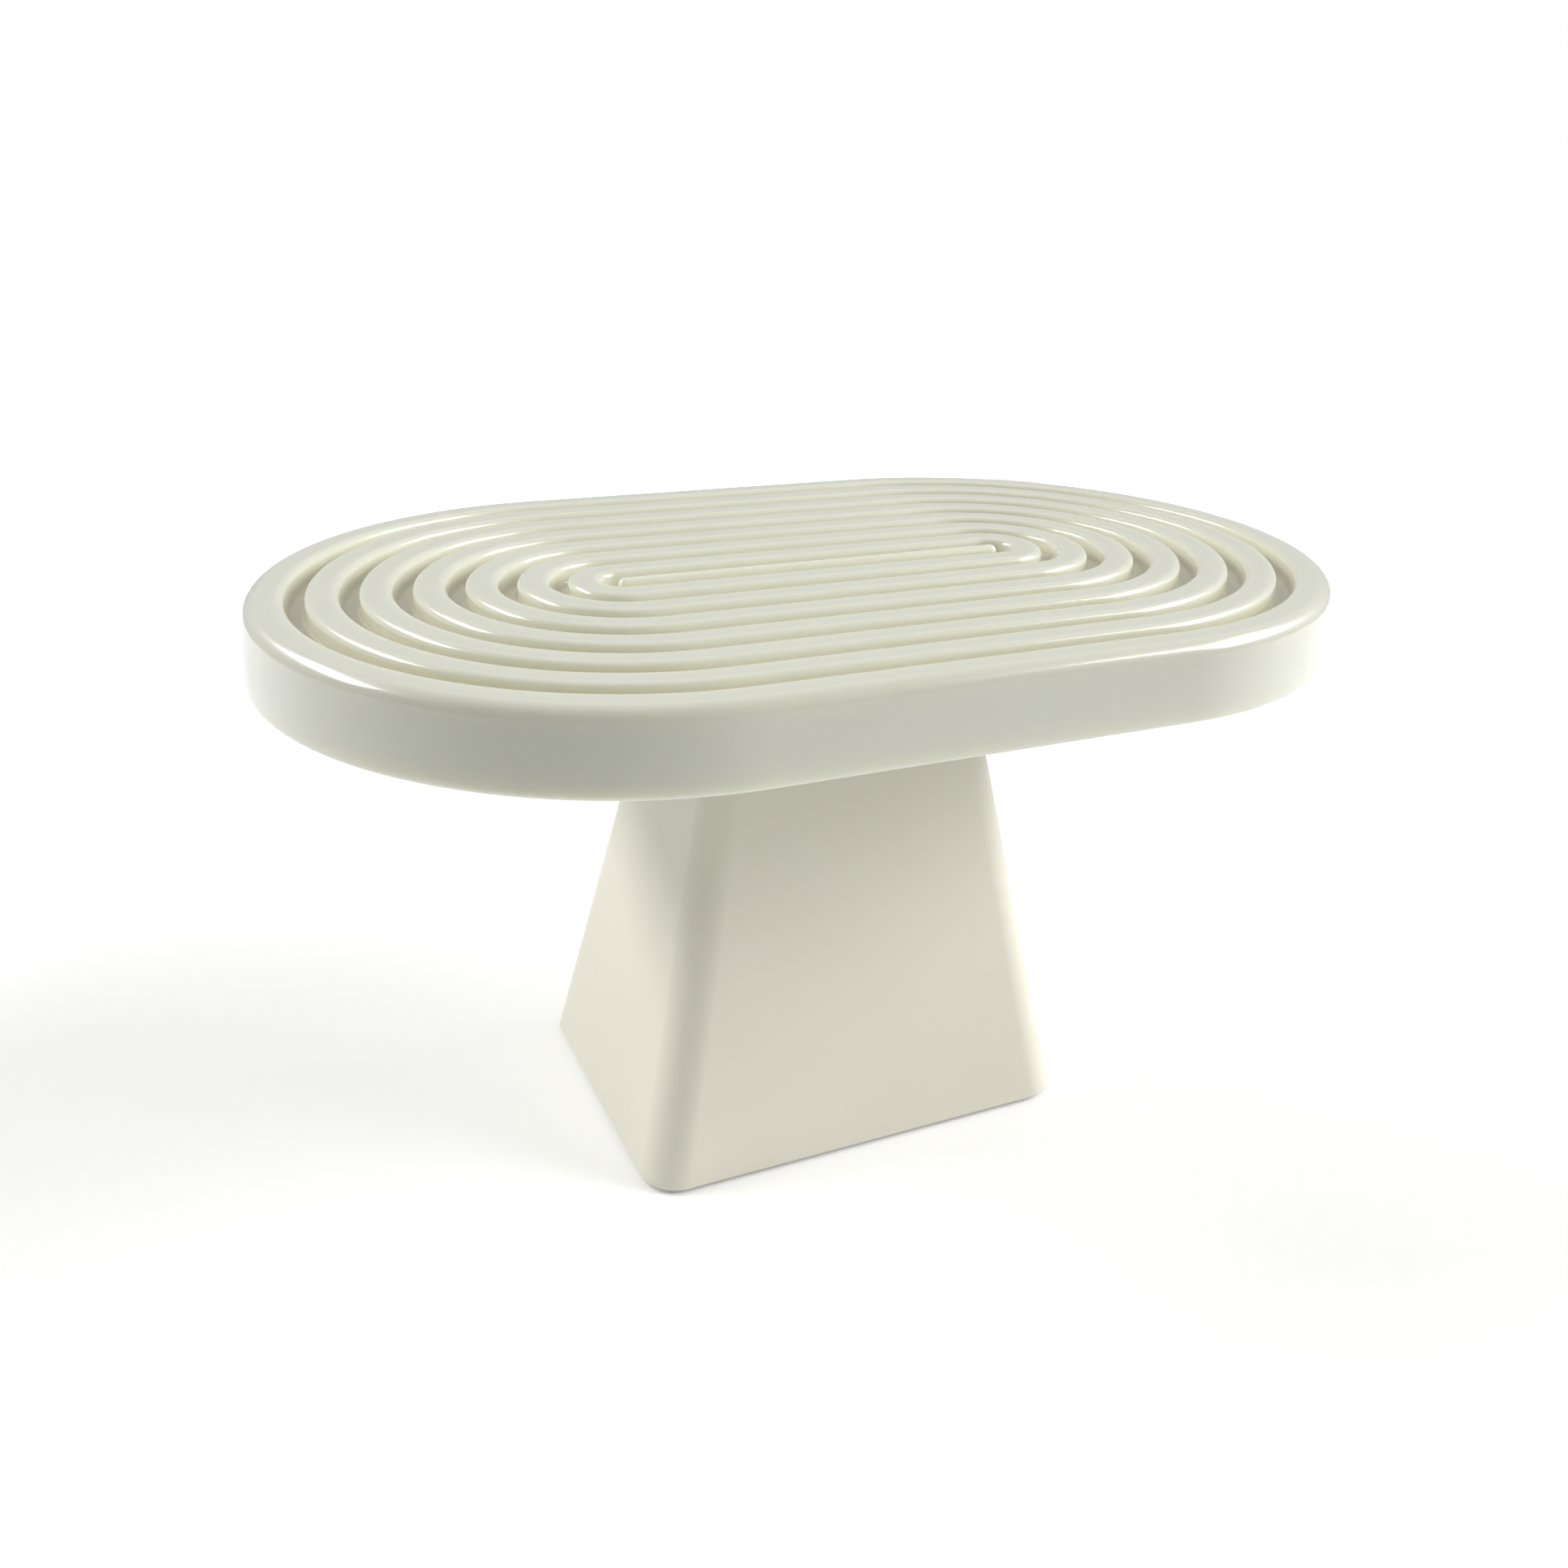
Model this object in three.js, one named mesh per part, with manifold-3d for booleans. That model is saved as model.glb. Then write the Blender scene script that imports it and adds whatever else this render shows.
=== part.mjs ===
/**
 * Oblong cake stand: a grooved serving slab on a hollow, tapered pedestal.
 *
 * Millimetres, +Z up, long side along X. The origin is on the table, under the middle of the stand.
 * Four button-head screws pass up through the pedestal's deck and a thin seat into brass inserts in
 * the slab, and four rubber feet sit in recesses in the pedestal's corners.
 */
import {
  BufferGeometry,
  CylinderGeometry,
  ExtrudeGeometry,
  Float32BufferAttribute,
  Group,
  LatheGeometry,
  Mesh,
  MeshStandardMaterial,
  Path,
  Shape,
  Vector2,
} from 'three';
import { mergeVertices } from 'three/addons/utils/BufferGeometryUtils.js';
import Module from 'manifold-3d';

// Serving slab: an oblong with half-round ends, a little wider at its lower edge.
const SLAB_LENGTH = 300;
const SLAB_WIDTH = 190;
const SLAB_THICKNESS = 20;
const SLAB_FLARE = 1.5;
const SLAB_TOP_EDGE_RADIUS = 3.5;
const SLAB_LOWER_EDGE_RADIUS = 1;
const STAND_HEIGHT = 161;

// Grooves: closed oblong loops, one inside the next, round a thin bar in the middle.
const GROOVE_COUNT = 7;
const GROOVE_WIDTH = 4.7;
const GROOVE_DEPTH = 5;
const GROOVE_PITCH = 12.9;
const RIM_WIDTH = 9.5;
const LIP_CHAMFER = 1.2;

// Pedestal: rounded rectangles joined by straight walls, open underneath.
const PEDESTAL_BASE = { length: 133, width: 99, cornerRadius: 11 };
const PEDESTAL_TOP = { length: 74, width: 52, cornerRadius: 8.7 };
const PEDESTAL_EDGE_RADIUS = 1;
const PEDESTAL_WALL = 6;
const DECK_THICKNESS = 8;
const CAVITY_BASE_CORNER_RADIUS = 30;
const CAVITY_TOP_CORNER_RADIUS = 14;

// Hardware: M5 button-head screws, washers, threaded inserts, the seat between slab and deck, feet.
const SCREW_SPACING_X = 40;
const SCREW_SPACING_Y = 22;
const SCREW_RADIUS = 2.5;
const SCREW_LENGTH = 16;
const SCREW_HEAD_RADIUS = 4.75;
const SCREW_HEAD_HEIGHT = 2.75;
const SCREW_HEAD_BAND = 0.6;
const SCREW_CROWN_RADIUS = 2.4;
const SCREW_SHOULDER_RADIUS = 3.6;
const SCREW_SHOULDER_HEIGHT = 0.7;
const SOCKET_ACROSS_FLATS = 3;
const SOCKET_DEPTH = 1.6;
const WASHER_RADIUS = 5;
const WASHER_THICKNESS = 1;
const INSERT_RADIUS = 3.5;
const INSERT_LENGTH = 9.5;
const INSERT_BAND = 3.2;
const INSERT_WAIST_DEPTH = 0.5;
const INSERT_HOLE_DEPTH = 10;
const SEAT_THICKNESS = 1;
const SEAT_INSET = 1.5;
const FOOT_RADIUS = 6;
const FOOT_THICKNESS = 2.5;
const FOOT_PROUD = 1;
const FOOT_EDGE = 0.4;
const FOOT_CENTRE = { x: 57.3, y: 40.3 };
const CLEARANCE = 0.3;

// Facets.
const SLAB_END_SEGMENTS = 20;
const CORNER_SEGMENTS = 5;
const EDGE_SEGMENTS = 3;
const ROUND_SEGMENTS = 16;
const CORNERS = 4;
const HEXAGON_SIDES = 6;
const CUT_MARGIN = 2;
const MERGE_DISTANCE = 1e-4;

// Heights of the stack, from the table up.
const SLAB_BOTTOM = STAND_HEIGHT - SLAB_THICKNESS;
const SEAT_BOTTOM = SLAB_BOTTOM - SEAT_THICKNESS;
const DECK_BOTTOM = SEAT_BOTTOM - DECK_THICKNESS;
const WASHER_BOTTOM = DECK_BOTTOM - WASHER_THICKNESS;
const PEDESTAL_BOTTOM = FOOT_PROUD;

// Plan sizes of the slab.
const END_CENTRE_X = (SLAB_LENGTH - SLAB_WIDTH) / 2;
const LOWER_RADIUS = SLAB_WIDTH / 2;
const UPPER_RADIUS = LOWER_RADIUS - SLAB_FLARE;

const HALF_TURN = Math.PI;
const QUARTER_TURN = Math.PI / 2;

const wasm = await Module();
wasm.setup();

const FINISHES = {
  slab: { color: 0xd6d7cb, roughness: 0.12, metalness: 0 },
  pedestal: { color: 0xdedbc8, roughness: 0.42, metalness: 0 },
  rubber: { color: 0x3a3a38, roughness: 0.85, metalness: 0 },
  seat: { color: 0xc9c6b8, roughness: 0.8, metalness: 0 },
  brass: { color: 0xb8954a, roughness: 0.35, metalness: 1 },
  steel: { color: 0xb4b6b8, roughness: 0.3, metalness: 1 },
};

/** Points of an arc in a section, from one angle to another, both ends included. */
function arcPoints(centreX, centreY, radius, fromAngle, toAngle, segments = EDGE_SEGMENTS) {
  const points = [];
  for (let step = 0; step <= segments; step += 1) {
    const angle = fromAngle + ((toAngle - fromAngle) * step) / segments;
    points.push(new Vector2(centreX + radius * Math.cos(angle), centreY + radius * Math.sin(angle)));
  }
  return points;
}

/**
 * A closed solid whose section is carried round an outline instead of round a circle.
 * It keeps the faces of a lathe and moves each point in plan to where `place` puts it.
 */
function carryRound(section, columns, place) {
  const geometry = new LatheGeometry(section, columns);
  const position = geometry.getAttribute('position');
  for (let column = 0; column <= columns; column += 1) {
    for (let row = 0; row < section.length; row += 1) {
      const spot = place(column % columns, section[row]);
      position.setXYZ(column * section.length + row, spot.x, spot.y, section[row].y);
    }
  }
  return geometry;
}

/** Where a section point lies on the oblong: two half-turns about the end centres. */
function placeOnOblong(column, point) {
  const columnsPerEnd = SLAB_END_SEGMENTS + 1;
  const end = column < columnsPerEnd ? 1 : -1;
  const step = column % columnsPerEnd;
  const angle = -QUARTER_TURN + (HALF_TURN * step) / SLAB_END_SEGMENTS;
  return {
    x: end * (END_CENTRE_X + point.x * Math.cos(angle)),
    y: end * point.x * Math.sin(angle),
  };
}

/** A rounded rectangle's half sizes and corner radius, part of the way from one to another. */
function blendRectangles(lower, upper, fraction) {
  const mix = (from, to) => from + (to - from) * fraction;
  return {
    halfLength: mix(lower.length, upper.length) / 2,
    halfWidth: mix(lower.width, upper.width) / 2,
    cornerRadius: mix(lower.cornerRadius, upper.cornerRadius),
  };
}

/** Where a column lies on a rounded rectangle that is drawn in by `inset` all round. */
function placeOnRectangle(column, rectangle, inset) {
  const columnsPerCorner = CORNER_SEGMENTS + 1;
  const corner = Math.floor(column / columnsPerCorner);
  const angle = QUARTER_TURN * (corner + (column % columnsPerCorner) / CORNER_SEGMENTS);
  const signX = corner === 0 || corner === 3 ? 1 : -1;
  const signY = corner < 2 ? 1 : -1;
  const radius = rectangle.cornerRadius - inset;
  return {
    x: signX * (rectangle.halfLength - rectangle.cornerRadius) + radius * Math.cos(angle),
    y: signY * (rectangle.halfWidth - rectangle.cornerRadius) + radius * Math.sin(angle),
  };
}

/**
 * A solid with tapering walls. Section points hold the inset from the wall and the height, and a
 * first and last point with no inset given close it on its axis.
 */
function taperedBlock(lower, upper, lowerHeight, upperHeight, wallPoints) {
  const onAxis = (height) => new Vector2(0, height);
  const last = wallPoints.length - 1;
  const section = [onAxis(wallPoints[0].y), ...wallPoints, onAxis(wallPoints[last].y)];
  return carryRound(section, CORNERS * (CORNER_SEGMENTS + 1), (column, point) => {
    if (!wallPoints.includes(point)) return { x: 0, y: 0 };
    const fraction = (point.y - lowerHeight) / (upperHeight - lowerHeight);
    return placeOnRectangle(column, blendRectangles(lower, upper, fraction), point.x);
  });
}

/** Turns a lathe's axis from Y to Z and moves it to a place in the stand. */
function standUp(geometry, x = 0, y = 0, z = 0) {
  geometry.rotateX(QUARTER_TURN);
  geometry.translate(x, y, z);
  return geometry;
}

/** A solid of revolution about Z, from radius and height pairs listed from the bottom up. */
function turned(section, x, y, z) {
  const points = section.map(([radius, height]) => new Vector2(radius, height));
  return standUp(new LatheGeometry(points, ROUND_SEGMENTS), x, y, z);
}

/** A plain round bar along Z, for cutting holes. */
function roundBar(radius, bottom, top, x, y, segments = ROUND_SEGMENTS) {
  const bar = new CylinderGeometry(radius, radius, top - bottom, segments);
  return standUp(bar, x, y, (bottom + top) / 2);
}

/** The manifold solid of a closed geometry, with shared points merged and empty faces dropped. */
function toSolid(geometry) {
  geometry.deleteAttribute('normal');
  geometry.deleteAttribute('uv');
  const merged = mergeVertices(geometry, MERGE_DISTANCE);
  const index = merged.getIndex().array;
  const triVerts = [];
  for (let face = 0; face < index.length; face += 3) {
    const [a, b, c] = index.slice(face, face + 3);
    if (a !== b && b !== c && c !== a) triVerts.push(a, b, c);
  }
  return new wasm.Manifold(new wasm.Mesh({
    numProp: 3,
    vertProperties: new Float32Array(merged.getAttribute('position').array),
    triVerts: new Uint32Array(triVerts),
  }));
}

/** The geometry of a manifold solid. */
function toGeometry(solid) {
  const { vertProperties, triVerts } = solid.getMesh();
  const geometry = new BufferGeometry();
  geometry.setAttribute('position', new Float32BufferAttribute(vertProperties, 3));
  geometry.setIndex([...triVerts]);
  return geometry;
}

/** One body less each of its cutters. */
function cut(body, cutters) {
  return toGeometry(cutters.reduce((rest, cutter) => rest.subtract(toSolid(cutter)), toSolid(body)));
}

/** The four points of a rectangle, as names and places. */
function fourPlaces(halfX, halfY) {
  return [
    { name: 'front_left', x: -halfX, y: -halfY },
    { name: 'front_right', x: halfX, y: -halfY },
    { name: 'back_right', x: halfX, y: halfY },
    { name: 'back_left', x: -halfX, y: halfY },
  ];
}

const SCREW_PLACES = fourPlaces(SCREW_SPACING_X / 2, SCREW_SPACING_Y / 2);
const FOOT_PLACES = fourPlaces(FOOT_CENTRE.x, FOOT_CENTRE.y);

/** A groove's section: softened lips, upright walls and a flat floor, from the inside out. */
function grooveSection(middle) {
  const inner = middle - GROOVE_WIDTH / 2;
  const outer = middle + GROOVE_WIDTH / 2;
  const floor = STAND_HEIGHT - GROOVE_DEPTH;
  return [
    new Vector2(inner - LIP_CHAMFER, STAND_HEIGHT),
    new Vector2(inner, STAND_HEIGHT - LIP_CHAMFER),
    new Vector2(inner, floor),
    new Vector2(outer, floor),
    new Vector2(outer, STAND_HEIGHT - LIP_CHAMFER),
    new Vector2(outer + LIP_CHAMFER, STAND_HEIGHT),
  ];
}

/** The slab's half section, from the underside's middle round the edge to the top's middle. */
function slabSection() {
  const upperEdge = SLAB_TOP_EDGE_RADIUS;
  const lowerEdge = SLAB_LOWER_EDGE_RADIUS;
  const section = [
    new Vector2(0, SLAB_BOTTOM),
    ...arcPoints(LOWER_RADIUS - lowerEdge, SLAB_BOTTOM + lowerEdge, lowerEdge, -QUARTER_TURN, 0),
    ...arcPoints(UPPER_RADIUS - upperEdge, STAND_HEIGHT - upperEdge, upperEdge, 0, QUARTER_TURN),
  ];
  const outermost = UPPER_RADIUS - RIM_WIDTH - GROOVE_WIDTH / 2;
  for (let groove = 0; groove < GROOVE_COUNT; groove += 1) {
    section.push(...grooveSection(outermost - groove * GROOVE_PITCH).reverse());
  }
  section.push(new Vector2(0, STAND_HEIGHT));
  return section;
}

/** The grooved slab, with four blind holes for the inserts in its underside. */
function servingSlab() {
  const body = carryRound(slabSection(), 2 * (SLAB_END_SEGMENTS + 1), placeOnOblong);
  const holes = SCREW_PLACES.map(({ x, y }) => roundBar(
    INSERT_RADIUS + CLEARANCE,
    SLAB_BOTTOM - CUT_MARGIN,
    SLAB_BOTTOM + INSERT_HOLE_DEPTH,
    x,
    y,
  ));
  return cut(body, holes);
}

/** The cavity's plan size at the height of one of the pedestal's outlines. */
function cavityOutline(outline, cornerRadius) {
  return {
    length: outline.length - 2 * PEDESTAL_WALL,
    width: outline.width - 2 * PEDESTAL_WALL,
    cornerRadius,
  };
}

/** The hollow pedestal: tapered walls, a deck with screw holes, and recesses for the feet. */
function pedestalShell() {
  const edge = PEDESTAL_EDGE_RADIUS;
  const lowerEdge = arcPoints(edge, PEDESTAL_BOTTOM + edge, -edge, QUARTER_TURN, 0);
  const outside = taperedBlock(PEDESTAL_BASE, PEDESTAL_TOP, PEDESTAL_BOTTOM, SEAT_BOTTOM, [
    ...lowerEdge,
    new Vector2(0, SEAT_BOTTOM),
  ]);
  const cavity = taperedBlock(
    cavityOutline(PEDESTAL_BASE, CAVITY_BASE_CORNER_RADIUS),
    cavityOutline(PEDESTAL_TOP, CAVITY_TOP_CORNER_RADIUS),
    PEDESTAL_BOTTOM,
    SEAT_BOTTOM,
    [new Vector2(0, PEDESTAL_BOTTOM - CUT_MARGIN), new Vector2(0, DECK_BOTTOM)],
  );
  const screwHoles = SCREW_PLACES.map(({ x, y }) => roundBar(
    SCREW_RADIUS + CLEARANCE,
    DECK_BOTTOM - CUT_MARGIN,
    SEAT_BOTTOM + CUT_MARGIN,
    x,
    y,
  ));
  const footRecesses = FOOT_PLACES.map(({ x, y }) => roundBar(
    FOOT_RADIUS + CLEARANCE,
    PEDESTAL_BOTTOM - CUT_MARGIN,
    FOOT_THICKNESS,
    x,
    y,
  ));
  return cut(outside, [cavity, ...screwHoles, ...footRecesses]);
}

/** The outline of a rounded rectangle, with its corners as arcs. */
function roundedRectangle(halfLength, halfWidth, radius) {
  const shape = new Shape();
  shape.absarc(halfLength - radius, halfWidth - radius, radius, 0, QUARTER_TURN);
  shape.absarc(radius - halfLength, halfWidth - radius, radius, QUARTER_TURN, HALF_TURN);
  shape.absarc(radius - halfLength, radius - halfWidth, radius, HALF_TURN, -QUARTER_TURN);
  shape.absarc(halfLength - radius, radius - halfWidth, radius, -QUARTER_TURN, 0);
  shape.closePath();
  return shape;
}

/** The thin seat that keeps the slab from grating on the deck. */
function joiningSeat() {
  const shape = roundedRectangle(
    PEDESTAL_TOP.length / 2 - SEAT_INSET,
    PEDESTAL_TOP.width / 2 - SEAT_INSET,
    PEDESTAL_TOP.cornerRadius - SEAT_INSET,
  );
  SCREW_PLACES.forEach(({ x, y }) => {
    shape.holes.push(new Path().absarc(x, y, SCREW_RADIUS + CLEARANCE, 0, 2 * HALF_TURN, true));
  });
  const seat = new ExtrudeGeometry(shape, {
    depth: SEAT_THICKNESS,
    bevelEnabled: false,
    curveSegments: CORNER_SEGMENTS,
  });
  seat.translate(0, 0, SEAT_BOTTOM);
  return seat;
}

/** A brass insert with a waist between its two gripping bands. */
function threadedInsert({ x, y }) {
  const bore = SCREW_RADIUS + CLEARANCE;
  const waist = INSERT_RADIUS - INSERT_WAIST_DEPTH;
  const waistStart = INSERT_BAND;
  const waistEnd = INSERT_LENGTH - INSERT_BAND;
  return turned([
    [bore, 0],
    [INSERT_RADIUS, 0],
    [INSERT_RADIUS, waistStart],
    [waist, waistStart],
    [waist, waistEnd],
    [INSERT_RADIUS, waistEnd],
    [INSERT_RADIUS, INSERT_LENGTH],
    [bore, INSERT_LENGTH],
    [bore, 0],
  ], x, y, SLAB_BOTTOM);
}

/** A flat washer under the deck. */
function washer({ x, y }) {
  const bore = SCREW_RADIUS + CLEARANCE;
  return turned([
    [bore, 0],
    [WASHER_RADIUS, 0],
    [WASHER_RADIUS, WASHER_THICKNESS],
    [bore, WASHER_THICKNESS],
    [bore, 0],
  ], x, y, WASHER_BOTTOM);
}

/** A button-head screw, head down, with a hexagon socket in its crown. */
function fixingScrew({ x, y }) {
  const crown = WASHER_BOTTOM - SCREW_HEAD_HEIGHT;
  const body = turned([
    [0, 0],
    [SCREW_CROWN_RADIUS, 0],
    [SCREW_SHOULDER_RADIUS, SCREW_SHOULDER_HEIGHT],
    [SCREW_HEAD_RADIUS, SCREW_HEAD_HEIGHT - SCREW_HEAD_BAND],
    [SCREW_HEAD_RADIUS, SCREW_HEAD_HEIGHT],
    [SCREW_RADIUS, SCREW_HEAD_HEIGHT],
    [SCREW_RADIUS, SCREW_HEAD_HEIGHT + SCREW_LENGTH],
    [0, SCREW_HEAD_HEIGHT + SCREW_LENGTH],
  ], x, y, crown);
  const socketRadius = SOCKET_ACROSS_FLATS / Math.sqrt(3);
  const socket = roundBar(
    socketRadius,
    crown - CUT_MARGIN,
    crown + SOCKET_DEPTH,
    x,
    y,
    HEXAGON_SIDES,
  );
  return cut(body, [socket]);
}

/** A round rubber foot with a softened lower edge. */
function rubberFoot({ x, y }) {
  return turned([
    [0, 0],
    [FOOT_RADIUS - FOOT_EDGE, 0],
    [FOOT_RADIUS, FOOT_EDGE],
    [FOOT_RADIUS, FOOT_THICKNESS],
    [0, FOOT_THICKNESS],
  ], x, y, 0);
}

/** A named piece of the stand in one of its finishes. */
function piece(name, geometry, finish) {
  const mesh = new Mesh(geometry, new MeshStandardMaterial(FINISHES[finish]));
  mesh.name = name;
  return mesh;
}

/** One piece for each of four places, named after them. */
function fourPieces(stem, makeGeometry, places, finish) {
  return places.map((place) => piece(`${stem}_${place.name}`, makeGeometry(place), finish));
}

const stand = new Group();
stand.add(
  piece('serving_slab', servingSlab(), 'slab'),
  piece('pedestal_shell', pedestalShell(), 'pedestal'),
  piece('joining_seat', joiningSeat(), 'seat'),
  ...fourPieces('threaded_insert', threadedInsert, SCREW_PLACES, 'brass'),
  ...fourPieces('washer', washer, SCREW_PLACES, 'steel'),
  ...fourPieces('fixing_screw', fixingScrew, SCREW_PLACES, 'steel'),
  ...fourPieces('rubber_foot', rubberFoot, FOOT_PLACES, 'rubber'),
);

export default stand;
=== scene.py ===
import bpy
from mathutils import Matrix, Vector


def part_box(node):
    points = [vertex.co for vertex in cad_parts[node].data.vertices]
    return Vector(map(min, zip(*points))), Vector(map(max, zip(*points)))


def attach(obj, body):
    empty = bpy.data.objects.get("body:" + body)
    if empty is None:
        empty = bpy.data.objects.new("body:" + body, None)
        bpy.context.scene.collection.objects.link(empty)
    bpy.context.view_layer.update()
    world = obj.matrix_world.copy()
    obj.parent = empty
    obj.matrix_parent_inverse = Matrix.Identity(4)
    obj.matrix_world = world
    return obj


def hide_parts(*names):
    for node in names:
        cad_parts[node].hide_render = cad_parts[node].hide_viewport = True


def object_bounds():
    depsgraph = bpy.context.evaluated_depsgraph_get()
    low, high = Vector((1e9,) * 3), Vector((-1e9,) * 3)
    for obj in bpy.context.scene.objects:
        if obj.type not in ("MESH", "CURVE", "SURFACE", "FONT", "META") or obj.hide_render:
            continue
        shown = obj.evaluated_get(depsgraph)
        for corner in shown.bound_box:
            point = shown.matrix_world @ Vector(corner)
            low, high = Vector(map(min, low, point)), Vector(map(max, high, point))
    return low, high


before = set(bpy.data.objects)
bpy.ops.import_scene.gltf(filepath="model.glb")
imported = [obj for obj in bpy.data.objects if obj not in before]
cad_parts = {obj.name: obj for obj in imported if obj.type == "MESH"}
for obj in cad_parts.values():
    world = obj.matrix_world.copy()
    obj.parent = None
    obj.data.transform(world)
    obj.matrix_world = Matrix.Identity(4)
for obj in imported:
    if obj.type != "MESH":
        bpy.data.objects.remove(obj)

"""Looks of an oblong cake stand: a grooved gloss slab on a satin, tapered pedestal.

Every size that the CAD model's boxes hold is read from them, and the others are fields of the class
that builds the piece. Lengths are in metres, with the long side along X and +Z up.
"""

import logging
import math
from collections.abc import Iterable, Sequence
from dataclasses import dataclass, field
from enum import Enum

import bmesh
import bpy
from bmesh.types import BMEdge, BMesh, BMVert
from mathutils import Matrix, Quaternion, Vector

CAD_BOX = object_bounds()
MM = 0.001
HALF_TURN = math.pi
FULL_TURN = 2 * math.pi
UP = (0, 0, 1)
MERGE_DISTANCE = 0.002 * MM
SHARP_DEG = 40.0
HEXAGON_SIDES = 6
BODY = "root"
# Layer that holds where the painted warm tint of bounced light and shade shows in the grooves.
GROOVE_BOUNCE_LAYER = "painted_groove_bounce"
CORNERS = ("front_left", "front_right", "back_right", "back_left")
QUADRANTS = ((-1, -1), (1, -1), (1, 1), (-1, 1))

log = logging.getLogger("cake_stand")

Span = tuple[float, float]
Colour = tuple[float, float, float]
Socket = bpy.types.NodeSocket

NONE_TO_ALL: Span = (0.0, 1.0)
MOST_OF_NOISE: Span = (0.2, 0.8)
MIDDLE_OF_NOISE: Span = (0.3, 0.7)


class Slot(Enum):
    """The record's material slots."""

    SLAB = "slab_enamel"
    PEDESTAL = "pedestal_enamel"
    SEAT = "seat_rubber"
    INSERT = "insert_brass"
    HARDWARE = "hardware_steel"
    FOOT = "foot_rubber"


# ---------------------------------------------------------------------------------------------------
# Finishes
# ---------------------------------------------------------------------------------------------------


class ShaderSheet:
    """A material's node tree, with short calls for the nodes that the finishes share."""

    def __init__(self, name: str) -> None:
        """Start a material with one Principled shader.

        Args:
            name: The material's name.
        """
        self.material = bpy.data.materials.new(name)
        self.material.use_nodes = True
        self.nodes = self.material.node_tree.nodes
        self.links = self.material.node_tree.links
        self.shader = self.nodes["Principled BSDF"]
        coordinates = self.nodes.new("ShaderNodeTexCoord")
        self.place = coordinates.outputs["Object"]

    def set(self, **values: float) -> None:
        """Set the shader's own sockets.

        Args:
            values: Socket names with underscores for spaces, and their numbers.
        """
        for name, value in values.items():
            self.shader.inputs[name.replace("_", " ")].default_value = value

    def noise(self, size: float, detail: float = 2.0, stretch: Sequence[float] = (1, 1, 1)) -> Socket:
        """Add a noise pattern on the piece.

        Args:
            size: The width of one blotch, in metres.
            detail: How many finer layers it holds.
            stretch: How much denser the pattern is along each axis.

        Returns:
            The noise value, about 0.5 on average.
        """
        mapping = self.nodes.new("ShaderNodeMapping")
        mapping.inputs["Scale"].default_value = Vector(stretch)
        texture = self.nodes.new("ShaderNodeTexNoise")
        texture.inputs["Scale"].default_value = 1 / size
        texture.inputs["Detail"].default_value = detail
        self.links.new(self.place, mapping.inputs["Vector"])
        self.links.new(mapping.outputs["Vector"], texture.inputs["Vector"])
        return texture.outputs["Fac"]

    def spread(self, value: Socket, span: Span, to: Span = NONE_TO_ALL) -> Socket:
        """Map a value from one span to another, held at the ends.

        Args:
            value: The value to map.
            span: The span that it is mapped from.
            to: The span that it is mapped to.

        Returns:
            The mapped value.
        """
        node = self.nodes.new("ShaderNodeMapRange")
        node.inputs["From Min"].default_value = span[0]
        node.inputs["From Max"].default_value = span[1]
        node.inputs["To Min"].default_value = to[0]
        node.inputs["To Max"].default_value = to[1]
        self.links.new(value, node.inputs["Value"])
        return node.outputs["Result"]

    def painted(self, layer: str) -> Socket:
        """Return a value that is stored on the piece's points.

        Args:
            layer: The stored layer's name.

        Returns:
            The value.
        """
        node = self.nodes.new("ShaderNodeAttribute")
        node.attribute_name = layer
        return node.outputs["Fac"]

    def mix(self, share: Socket, first: Colour | Socket, second: Colour) -> Socket:
        """Blend a colour into another.

        Args:
            share: How much of the second colour shows.
            first: A colour, or a socket that gives one.
            second: The colour that is blended in.

        Returns:
            The blended colour.
        """
        node = self.nodes.new("ShaderNodeMix")
        node.data_type = "RGBA"
        self.links.new(share, node.inputs["Factor"])
        if isinstance(first, tuple):
            node.inputs["A"].default_value = (*first, 1)
        else:
            self.links.new(first, node.inputs["A"])
        node.inputs["B"].default_value = (*second, 1)
        return node.outputs["Result"]

    def relief(self, value: Socket, depth: float, under: Socket | None = None) -> Socket:
        """Turn a pattern into surface relief.

        Args:
            value: The pattern.
            depth: How far the relief stands out where the pattern is 1, in metres.
            under: A coarser relief that this one lies on.

        Returns:
            The bent surface normal.
        """
        bump = self.nodes.new("ShaderNodeBump")
        bump.inputs["Distance"].default_value = depth
        self.links.new(value, bump.inputs["Height"])
        if under is not None:
            self.links.new(under, bump.inputs["Normal"])
        return bump.outputs["Normal"]

    def dress(self, colour: Socket, roughness: Socket, normal: Socket) -> bpy.types.Material:
        """Join the patterns to the shader.

        Args:
            colour: The surface colour.
            roughness: The surface roughness.
            normal: The bent surface normal.

        Returns:
            The finished material.
        """
        self.links.new(colour, self.shader.inputs["Base Color"])
        self.links.new(roughness, self.shader.inputs["Roughness"])
        self.links.new(normal, self.shader.inputs["Normal"])
        return self.material


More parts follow.
